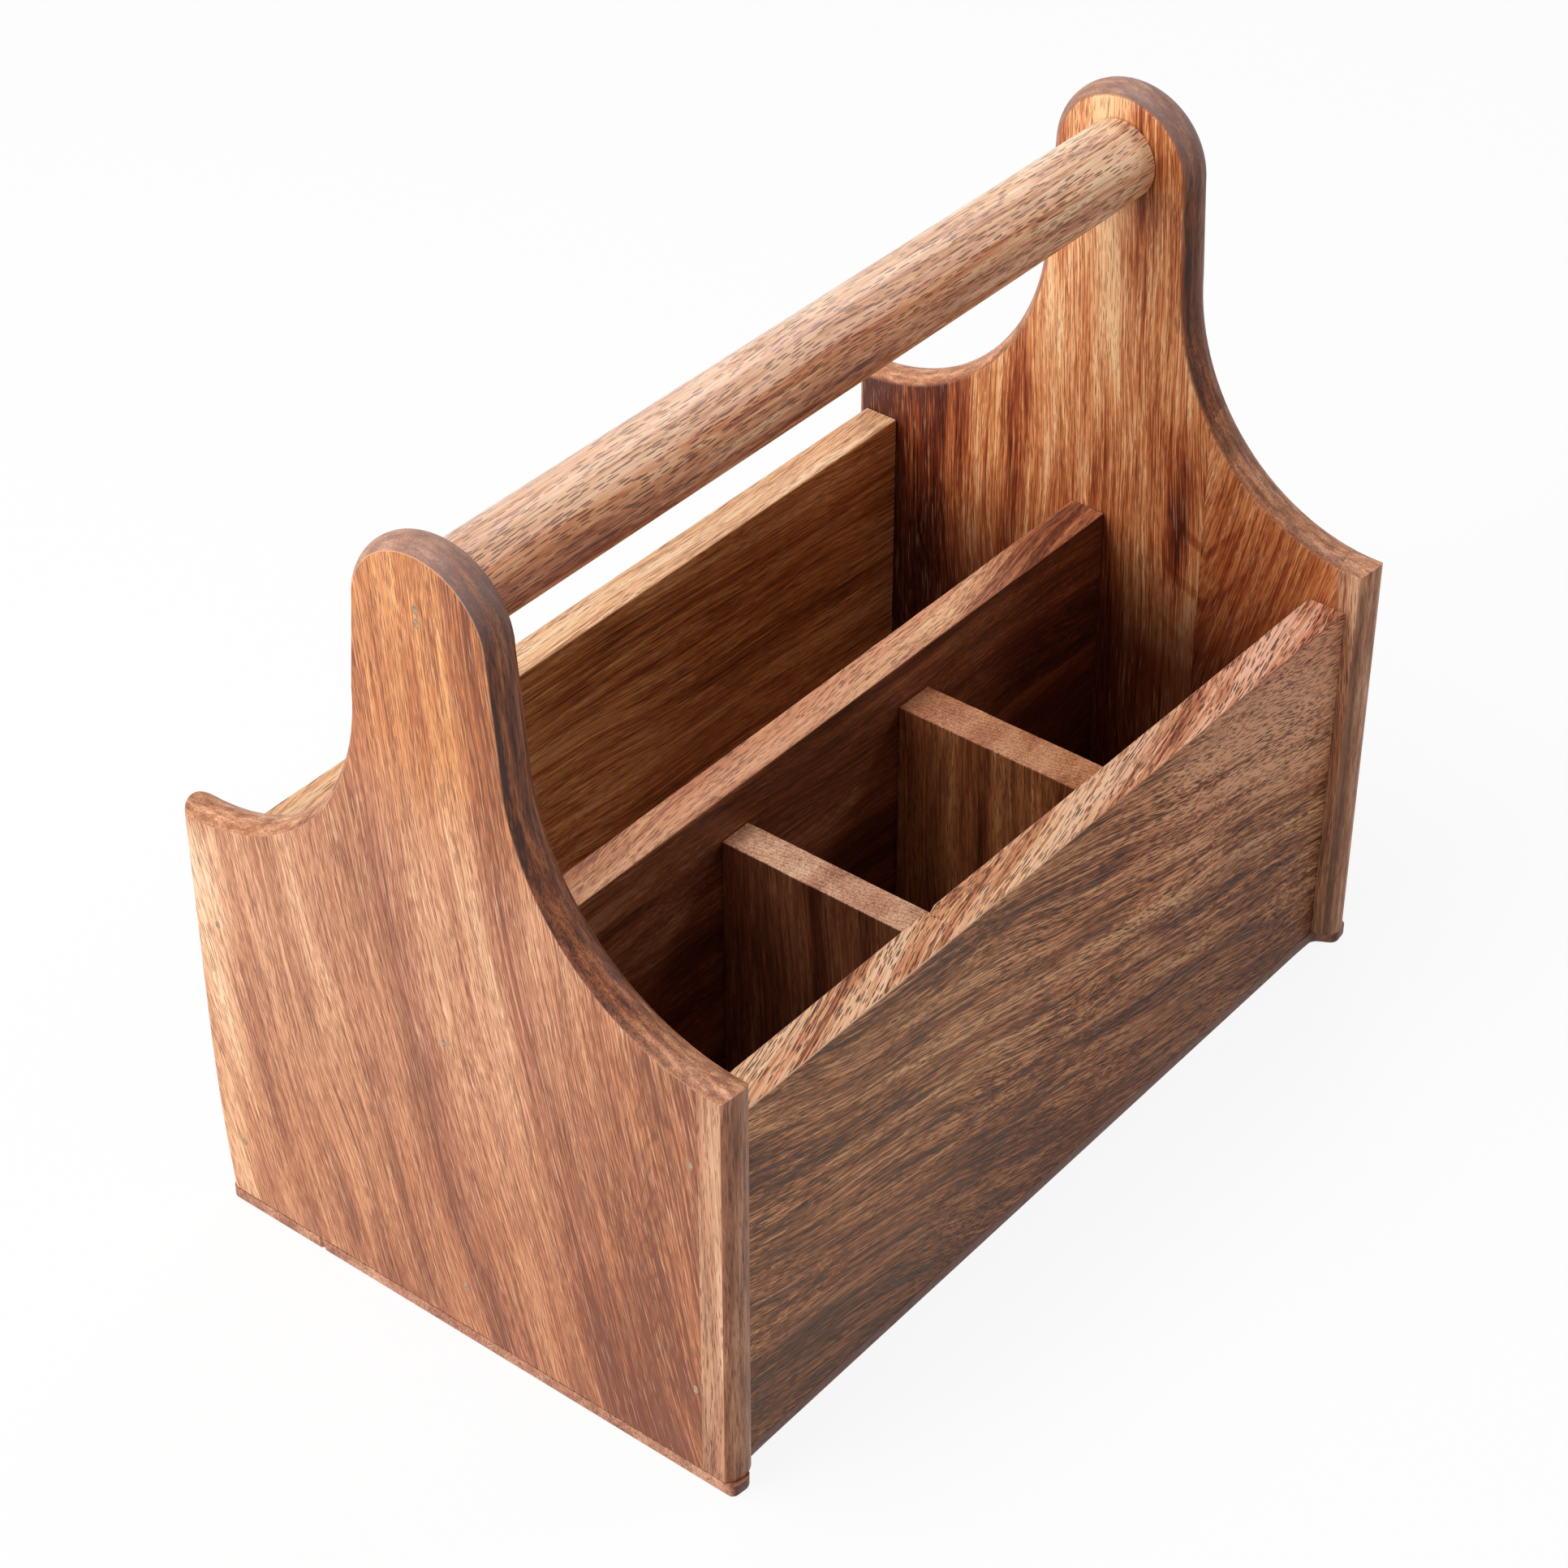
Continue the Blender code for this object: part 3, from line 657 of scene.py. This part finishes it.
def nosed_board(side, nose, **outline):
    """A whole end board, before it is parted into its staves."""
    shape = end_outline(nose=nose, **outline)
    face = shape.faces[:][0]
    face.normal_update()
    if face.normal.x < 0:
        face.normal_flip()
    half = END_THICKNESS / 2
    radius = (half**2 + nose**2) / (2 * nose)
    depth_before, height_before = 0, 0
    for step in range(1, NOSE_STEPS + 1):
        height = half * math.sin(math.pi / 2 * step / NOSE_STEPS)
        depth = radius - math.sqrt(radius**2 - height**2)
        bmesh.ops.inset_region(shape, faces=[face], use_boundary=True, use_even_offset=True,
                               thickness=depth - depth_before, depth=height - height_before)
        depth_before, height_before = depth, height
    ease(shape, face.edges[:], ARRIS)
    half_board = shape.verts[:] + shape.edges[:] + shape.faces[:]
    bmesh.ops.mirror(shape, geom=half_board, axis="X", merge_dist=0)
    bmesh.ops.remove_doubles(shape, verts=shape.verts, dist=MERGE)
    keep_side(shape, (0, 0, FOOT), (0, 0, -1))
    bmesh.ops.translate(shape, vec=(side * (HALF_SPAN - half), 0, 0), verts=shape.verts)
    return shape


def stave_shape(side, outline, front_joint=None, back_joint=None):
    """The part of an end board between two joints. Without a joint it ends where the board does."""
    shape = nosed_board(side, **outline)
    if back_joint is not None:
        keep_side(shape, (0, back_joint - HAIRLINE, 0), (0, 1, 0))
    if front_joint is not None:
        keep_side(shape, (0, front_joint + HAIRLINE, 0), (0, -1, 0))
    return shape


def nose(wood, dark_share, arris, arris_share):
    """The rounded edge's overlays: streaks along it, painted sheen on the arch, a fine arris line."""
    turn = abs(wood.dot(wood.facing, (1, 0, 0)))
    streak = wood.cloud(wood.y / 5, wood.z / 24, wood.x / 1.3 + wood.seed, 2) - 0.5
    speck = wood.cloud(wood.y / 0.8, wood.z / 7, wood.x / 0.26, 1) - 0.5
    value = streak * 1.6 + speck * 0.7 + 0.53 - wood.hump(turn, 0.7, 0.3) * dark_share * 0.22
    value = value - wood.dashes(5.0, 0.38, 0.33, 27.7) * 0.26
    pale, dark = (
        wood.ramp(value, (0.1, tone(*low)), (0.5, tone(*middle)), (0.9, tone(*high)))
        for low, middle, high in (
            ((120, 70, 46), (172, 116, 82), (214, 162, 126)),
            ((54, 26, 16), (120, 64, 38), (170, 110, 72)),
        )
    )
    colour = wood.mix(dark_share, pale, dark)
    # Painted sheen: a greyish pink laid over the nose high on the arch.
    colour = wood.mix(wood.step(wood.z, 196, 212) * 0.45, colour, tone(138, 116, 111))
    return (
        (wood.step(turn, 0.93, 0.80), colour),
        (wood.hump(turn, 0.86, 0.12) * arris_share, tone(*arris)),
    )


LEFT_OUTLINE = {
    "front": -78.25 * MM, "back": 79.15 * MM, "corner": 116.6 * MM, "neck": 44.6 * MM,
    "arch_height": 197.0 * MM, "arch_radius": 20.2 * MM, "nose": 2.2 * MM,
}
LEFT_JOINT = -69.85 * MM

left_wood = Timber("left_end_wood", (0, 0, 1), (1, 0, 0), seed=71.0, swerve=0.8)
drop = 210 - left_wood.z
slant = drop * 0.07 + drop * drop * 0.0006
lean = left_wood.y + slant
left_wood.across = left_wood.across - slant
sap = left_wood.step(left_wood.y, 62, 72) * left_wood.step(left_wood.z, 118, 108)
honey = left_wood.hump(lean, 7, 10)
plum = left_wood.hump(lean, 25, 9) + left_wood.hump(lean, -11, 8) * 0.6
low_down = left_wood.step(left_wood.z, 100, 25)
toward_front = left_wood.step(left_wood.y, -20, -58) * left_wood.step(left_wood.z, 135, 110)
in_neck = left_wood.step(left_wood.z, 130, 175)
neck_front = in_neck * left_wood.step(left_wood.y, -10, -20)
flame = left_wood.y + 60
flame = left_wood.z + flame * flame * 0.3 + left_wood.fibres((40, 6, 20), shift=6.0) * 16
flame = left_wood.step(left_wood.sum("SINE", flame * 0.8), 0.3, 1.0)
flame = flame * left_wood.hump(left_wood.y, -59, 12) * left_wood.step(left_wood.z, 116, 98)
nose_shade = left_wood.step(left_wood.y, 10, -14) * left_wood.step(left_wood.z, 112, 126)
# A pale line along the arris, strongest high on the arch: a painted highlight.
arris_share = left_wood.step(left_wood.z, 150, 200) * 0.5 + 0.15
left_material = left_wood.finish(
    tones=((126, 74, 50), (184, 124, 90), (218, 164, 128), (244, 204, 170)),
    figure=sap * 0.42 + honey * 0.16 - plum * 0.19 - low_down * 0.1 - toward_front * 0.3
    - neck_front * 0.16 - flame * 0.12 - 0.07,
    washes=(
        (1.0, (250, 250, 246)),
        (plum * 0.7, (228, 206, 214)),
        (in_neck * 0.9, (255, 230, 186)),
        (low_down * 0.8, (246, 230, 212)),
        (toward_front * 0.7, (252, 236, 222)),
        # Painted shade on the inner face, deep in the compartments.
        (left_wood.inside(1), (140, 110, 96)),
    ),
    bands=0.9,
    streaks=0.8,
    lines=1.2,
    hairs=0.4,
    flecks=0.32,
    drift=0.4,
    pores=(5.0, 0.33, 0.36),
    pore_tone=(106, 58, 42),
    pore_share=0.6,
    gloss=0.32,
    overlays=nose(left_wood, nose_shade, (232, 170, 132), arris_share),
)
put_together(
    "end_left", stave_shape(-1, LEFT_OUTLINE, front_joint=LEFT_JOINT),
    left_material, "left_end_board",
)

left_strip_wood = Timber("left_strip_wood", (0, 0.01, 1), (1, 0, 0), seed=83.0)
left_strip_material = left_strip_wood.finish(
    tones=((112, 72, 50), (160, 112, 82), (196, 148, 114), (220, 176, 144)),
    pores=(5.0, 0.4, 0.3),
    overlays=nose(left_strip_wood, 0.35, (186, 112, 72), 0.4),
)
put_together(
    "end_left_strip", stave_shape(-1, LEFT_OUTLINE, back_joint=LEFT_JOINT),
    left_strip_material, "left_front_strip",
)


# Right end board
# The far end board, glued up from a wide stave, a narrower one and a pale strip at the front.
# Its nose is a little deeper than the left one's.

RIGHT_OUTLINE = {
    "front": -79.15 * MM, "back": 77.05 * MM, "corner": 117.3 * MM, "neck": 43.6 * MM,
    "arch_height": 200.3 * MM, "arch_radius": 20.5 * MM, "nose": 2.9 * MM,
}
RIGHT_JOINT = -70.75 * MM
STAVE_JOINT = -31.65 * MM


def arched_lines(wood, slope):
    """Thin dark growth lines in nested arches either side of the joint."""
    rise = wood.z - abs(wood.y + 33) * slope + (wood.fibres((30, 8, 20), shift=4.0) - 0.5) * 7
    wave = wood.sum("SINE", rise * 0.39 - 38.9)
    return wood.step(wave, 0.66, 1.0) * wood.hump(wood.y, -33, 20) * wood.hump(wood.z, 100, 38)


right_wood = Timber("right_back_wood", (0, 0.04, 1), (1, 0, 0), seed=97.0)
# Darker beside the back board: partly dark heartwood, partly painted shade of the back board.
dark_and_shaded_by_back = right_wood.step(right_wood.y, 36, 58)
honey = right_wood.hump(right_wood.y, 8, 20) * right_wood.step(right_wood.z, 90, 125)
dark_patch = right_wood.hump(right_wood.y, -25, 8) * right_wood.hump(right_wood.z, 112, 34)
in_neck = right_wood.step(right_wood.z, 130, 165)
right_material = right_wood.finish(
    tones=((74, 22, 6), (152, 70, 30), (208, 132, 78), (244, 196, 146)),
    figure=0.06 - dark_and_shaded_by_back * 0.72 + honey * 0.2 - dark_patch * 0.55 + in_neck * 0.18
    - arched_lines(right_wood, 0.75) * 0.26,
    # Painted shade on the inner face, deep in the compartments.
    washes=((right_wood.inside(-1), (116, 86, 74)),),
    bands=1.4,
    streaks=1.1,
    lines=1.2,
    hairs=0.5,
    drift=0.25,
    pores=(5.0, 0.34, 0.32),
    pore_tone=(104, 44, 20),
    pore_share=0.6,
    gloss=0.35,
    overlays=nose(right_wood, right_wood.step(right_wood.y, 10, -14), (116, 62, 36), 0.35),
)
put_together(
    "end_right_back", stave_shape(1, RIGHT_OUTLINE, front_joint=STAVE_JOINT),
    right_material, "right_back_stave",
)

middle_wood = Timber("right_middle_wood", (0, -0.2, 1), (1, 0, 0), seed=103.0)
up_high = middle_wood.step(middle_wood.z, 100, 130)
nose_shade = middle_wood.step(middle_wood.z, 125, 150) * 0.5 + 0.35
middle_material = middle_wood.finish(
    tones=((80, 26, 8), (150, 66, 28), (200, 120, 68), (230, 174, 122)),
    figure=up_high * 0.16 - arched_lines(middle_wood, 1.05) * 0.24,
    # Painted shade on the inner face, deep in the compartments.
    washes=((middle_wood.inside(-1), (116, 86, 74)),),
    bands=0.9,
    drift=0.25,
    pores=(4.4, 0.38, 0.34),
    pore_tone=(92, 38, 18),
    pore_share=0.65,
    gloss=0.35,
    overlays=nose(middle_wood, nose_shade, (116, 62, 36), 0.4),
)
put_together(
    "end_right_middle", stave_shape(1, RIGHT_OUTLINE, RIGHT_JOINT, STAVE_JOINT),
    middle_material, "right_middle_stave",
)

right_strip_wood = Timber("right_strip_wood", (0, 0.02, 1), (1, 0, 0), seed=113.0)
# The nose where it turns toward the front board: partly darker wood, partly painted shade of that
# board.
dark_and_shaded_by_front = right_strip_wood.dot(right_strip_wood.facing, (-1, 0, 0))
dark_and_shaded_by_front = right_strip_wood.hump(dark_and_shaded_by_front, 0.72, 0.3)
dark_and_shaded_by_front = dark_and_shaded_by_front * right_strip_wood.step(right_strip_wood.z, 116, 108)
right_strip_material = right_strip_wood.finish(
    tones=((116, 74, 50), (176, 124, 92), (214, 162, 126), (232, 188, 154)),
    pores=(6.0, 0.42, 0.31),
    pore_tone=(92, 54, 38),
    figure=0.07,
    streaks=1.3,
    lines=1.9,
    overlays=(
        *nose(right_strip_wood, 0.0, (150, 92, 58), 0.3),
        (dark_and_shaded_by_front * 0.6, tone(84, 48, 32)),
    ),
)
put_together(
    "end_right_strip", stave_shape(1, RIGHT_OUTLINE, back_joint=RIGHT_JOINT),
    right_strip_material, "right_front_strip",
)


# Handle
# A turned round bar of pale wood, let into a shallow socket in each end board and bradded there.
# A dark line shows all round it where it enters the board. Hands have polished its top to a clear
# coat, and its paler tones there are partly paler wood and partly a painted highlight.

HANDLE_LOW, HANDLE_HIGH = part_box("handle")
HANDLE_RADIUS = (HANDLE_HIGH.z - HANDLE_LOW.z) / 2
HANDLE_SIDES = 96
SOCKET_MOUTH = FRONT_HIGH.x + 0.25 * MM
RING_WIDTH = 0.5 * MM
RING_DEPTH = 0.45 * MM
BAR_RINGS = 50


def turned_bar():
    """Spins the handle's long profile about its axis."""
    shape = bmesh.new()
    reach = HANDLE_HIGH.x
    shoulder = SOCKET_MOUTH - RING_WIDTH
    neck = HANDLE_RADIUS - RING_DEPTH
    body = [(-shoulder + 2 * shoulder * n / BAR_RINGS, HANDLE_RADIUS) for n in range(BAR_RINGS + 1)]
    profile = [
        (-reach, 0), (-reach, neck), (-shoulder, neck),
        *body,
        (shoulder, neck), (reach, neck), (reach, 0),
    ]
    middle = (HANDLE_LOW + HANDLE_HIGH) / 2
    verts = [shape.verts.new((x, middle.y, middle.z + height)) for x, height in profile]
    edges = [shape.edges.new(pair) for pair in zip(verts, verts[1:])]
    bmesh.ops.spin(shape, geom=verts + edges, cent=middle, axis=(1, 0, 0), angle=math.tau,
                   steps=HANDLE_SIDES, use_merge=True)
    bmesh.ops.remove_doubles(shape, verts=shape.verts, dist=MERGE)
    return shape


handle_wood = Timber("handle_wood", (1, 0.01, 0.015), (0, 0, 1), seed=127.0)
far_half = handle_wood.step(handle_wood.x, 10, 100)
# The side that looks up and back gets a clear coat, and paler top tones: partly paler wood, partly a
# painted highlight.
handle_wood.top = handle_wood.looks((0, 0.35, 0.94), 0.3, 0.74)
handle_wood.feed(handle_wood.shader, {
    "Coat Weight": handle_wood.top * (0.8 - far_half * 0.45),
    "Coat Roughness": 0.32,
    "Coat IOR": 1.6,
})
handle_material = handle_wood.finish(
    tones=((122, 58, 34), (190, 116, 76), (228, 164, 120), (248, 208, 170)),
    top_tones=((174, 114, 78), (228, 178, 138), (246, 214, 180), (252, 232, 208)),
    figure=(1 - handle_wood.top) * (far_half * 0.3 + 0.05) - handle_wood.top * far_half * 0.22,
    washes=((1 - far_half * 0.8, (242, 230, 222)),),
    bands=1.7,
    streaks=1.5,
    lines=1.0,
    drift=0.3,
    gloss=0.34,
    pores=(5.4, 0.52, 0.34),
    pore_tone=(84, 38, 26),
    pore_share=0.75,
    hairs=0.5,
)
put_together("handle_bar", turned_bar(), handle_material, "handle")


# Brads
# Headless wire brads of drawn steel, eight in each end board and eight up through the base.
# They are sunk below the surface, and keep the CAD's own shape.


def speckle(bench, scale, detail):
    """Fine even noise, for a small piece."""
    place = bench.out(bench.add("ShaderNodeTexCoord"), "Object")
    sockets = {"Vector": place, "Scale": scale, "Detail": detail}
    return bench.out(bench.add("ShaderNodeTexNoise", {}, sockets), "Fac")


steel = Bench(bpy.data.materials.new("brad_steel"))
steel_noise = speckle(steel, 2600.0, 2.0)
steel.feed(steel.shader, {
    "Base Color": steel.ramp(steel_noise, (0.3, tone(140, 138, 134)), (0.7, tone(188, 187, 184))),
    "Metallic": 1.0,
    "Roughness": 0.28 + steel_noise * 0.2,
})
for name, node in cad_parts.items():
    if "brad" in name:
        node.data.materials.clear()
        node.data.materials.append(steel.owner)


# Filler
# Grey-brown wood filler over each sunk brad head, wiped flush.
# Each mark is a small upright oval on the outer face of an end board.

FILLER_WIDTH = 1.5 * MM
FILLER_HEIGHT = 2.2 * MM
FILLER_DEPTH = 0.5 * MM
FILLER_PROUD = 0.03 * MM
FILLER_SIDES = 28
FILLER_EASED_SHARE = 0.04

putty = Bench(bpy.data.materials.new("wood_filler"))
putty_noise = speckle(putty, 1400.0, 3.0)
putty_stops = (0.3, tone(122, 96, 78)), (0.55, tone(156, 130, 108)), (0.75, tone(188, 160, 134))
putty.feed(putty.shader, {
    "Base Color": putty.ramp(putty_noise, *putty_stops),
    "Roughness": 0.62 + putty_noise * 0.2,
})


def filler_shape(side, place):
    """An oval plug in the outer face of the end board on this side, from a cone of unit size."""
    shape = bmesh.new()
    bmesh.ops.create_cone(shape, cap_ends=True, segments=FILLER_SIDES, radius1=0.5, radius2=0.5,
                          depth=1)
    rims = [e for e in shape.edges if abs(e.verts[0].co.z - e.verts[1].co.z) < 0.5]
    ease(shape, rims, FILLER_EASED_SHARE, segments=2)
    size = Matrix.Diagonal((FILLER_HEIGHT, FILLER_WIDTH, FILLER_DEPTH, 1))
    turn = Matrix.Rotation(math.radians(90), 4, "Y")
    out = side * (HALF_SPAN + FILLER_PROUD - FILLER_DEPTH / 2)
    put = Matrix.Translation((out, place.y, place.z))
    bmesh.ops.transform(shape, matrix=put @ turn @ size, verts=shape.verts)
    return shape


for name in sorted(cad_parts):
    if "filler" in name:
        low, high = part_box(name)
        side = -1 if low.x < 0 else 1
        put_together(
            name.replace("filler", "plug"), filler_shape(side, (low + high) / 2),
            putty.owner, name,
        )


# Studio
# A plain pale floor, large soft lamps above and at the left, and two smaller ones at the right.
# The floor is open under the base, where only a lamp below it shines, so that the underside shows.

FLOOR_REACH = 6
OPEN_INSET = 0.7 * MM
OPEN_LOBE = 4.5 * MM
OPEN_LOBE_INSET = 1.05 * MM
WHITE = (1, 1, 1, 1)


def floor_shape():
    """A flat floor, open a little inside the outline of the base."""
    shape = bmesh.new()
    bmesh.ops.create_grid(shape, x_segments=1, y_segments=1, size=FLOOR_REACH)
    open_x = HALF_SPAN - OPEN_INSET
    lobe_x = open_x - OPEN_LOBE
    front, back = FRONT_LOW.y + OPEN_INSET, BACK_HIGH.y - OPEN_INSET
    lobe_front, lobe_back = BASE_LOW.y + OPEN_LOBE_INSET, BASE_HIGH.y - OPEN_LOBE_INSET
    for x in (-open_x, -lobe_x, lobe_x, open_x):
        slice_at(shape, (x, 0, 0), (1, 0, 0))
    for y in (lobe_front, front, back, lobe_back):
        slice_at(shape, (0, y, 0), (0, 1, 0))
    under = []
    for face in shape.faces:
        middle = face.calc_center_median()
        in_middle = front < middle.y < back
        in_lobe = abs(middle.x) > lobe_x and lobe_front < middle.y < lobe_back
        if abs(middle.x) < open_x and (in_middle or in_lobe):
            under.append(face)
    bmesh.ops.delete(shape, geom=under, context="FACES_ONLY")
    return shape


def show(bench, output, share, lit, shown):
    """Lights the scene with one shader, and shows another in the picture, to this share."""
    rays = bench.add("ShaderNodeLightPath")
    seen = bench.out(rays, "Is Camera Ray")
    for ray in ("Is Glossy Ray", "Is Transmission Ray"):
        seen = bench.sum("MAXIMUM", seen, bench.out(rays, ray))
    mixed = bench.add("ShaderNodeMixShader", {}, {0: seen * share, 1: lit, 2: shown})
    bench.feed(bench.tree.nodes[output], {"Surface": bench.out(mixed, "Shader")})


floor_paint = Bench(bpy.data.materials.new("floor_paint"))
floor_paint.feed(floor_paint.shader, {
    "Base Color": (0.8, 0.8, 0.8, 1),
    "Roughness": 0.9,
    "Specular IOR Level": 0.0,
})
glow = floor_paint.add("ShaderNodeEmission", {}, {"Color": WHITE, "Strength": 1.0})
show(floor_paint, "Material Output", 0.9,
     lit=floor_paint.out(floor_paint.shader, "BSDF"), shown=floor_paint.out(glow, "Emission"))

floor_sheet = floor_shape()
floor_mesh = bpy.data.meshes.new("floor")
floor_sheet.to_mesh(floor_mesh)
floor_sheet.free()
floor_mesh.materials.append(floor_paint.owner)
floor = bpy.data.objects.new("floor", floor_mesh)
bpy.context.scene.collection.objects.link(floor)
floor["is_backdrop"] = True

world = bpy.data.worlds.new("studio")
bpy.context.scene.world = world
sky = Bench(world)
ambient = sky.tree.nodes["Background"]
sky.feed(ambient, {"Color": WHITE, "Strength": 0.15})
backdrop = sky.add("ShaderNodeBackground", {}, {"Color": WHITE, "Strength": 1.0})
show(sky, "World Output", 1.0,
     lit=sky.out(ambient, "Background"), shown=sky.out(backdrop, "Background"))


def set_up(name, data, place, direction):
    """Puts a lamp or the camera in its place, looking this way."""
    thing = bpy.data.objects.new(name, data)
    thing.location = place
    thing.rotation_mode = "QUATERNION"
    thing.rotation_quaternion = direction.to_track_quat("-Z", "Y")
    bpy.context.scene.collection.objects.link(thing)
    return thing


for name, place, aim, width, height, watts in (
    ("top_lamp", (-0.5, 0.36, 1.35), (0, 0, 0.1), 1.1, 1.1, 20),
    ("side_lamp", (-1.75, 0.5, 0.42), (-0.1, 0, 0.12), 0.9, 0.6, 18.5),
    ("front_lamp", (0.87, -0.7, 1.0), (0, 0, 0.15), 0.34, 0.34, 3.6),
    ("back_lamp", (0.95, 0.5, 1.25), (0, 0, 0.2), 0.55, 0.55, 3.5),
    ("under_lamp", (0, 0, -1.2), (0, 0, 0), 0.8, 0.8, 12),
):
    light = bpy.data.lights.new(name, "AREA")
    light.shape = "RECTANGLE"
    light.size = width
    light.size_y = height
    light.energy = watts
    set_up(name, light, place, Vector(aim) - Vector(place))

camera_data = bpy.data.cameras.new("camera")
camera_data.sensor_width = 36.0
camera_data.lens = 88.2
view = Vector((0.62055, 0.49785, -0.60589))
camera = set_up("camera", camera_data, (-0.56575, -0.44630, 0.63421), view)
bpy.context.scene.camera = camera
bpy.context.scene.view_settings.view_transform = "Standard"

low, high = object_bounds()
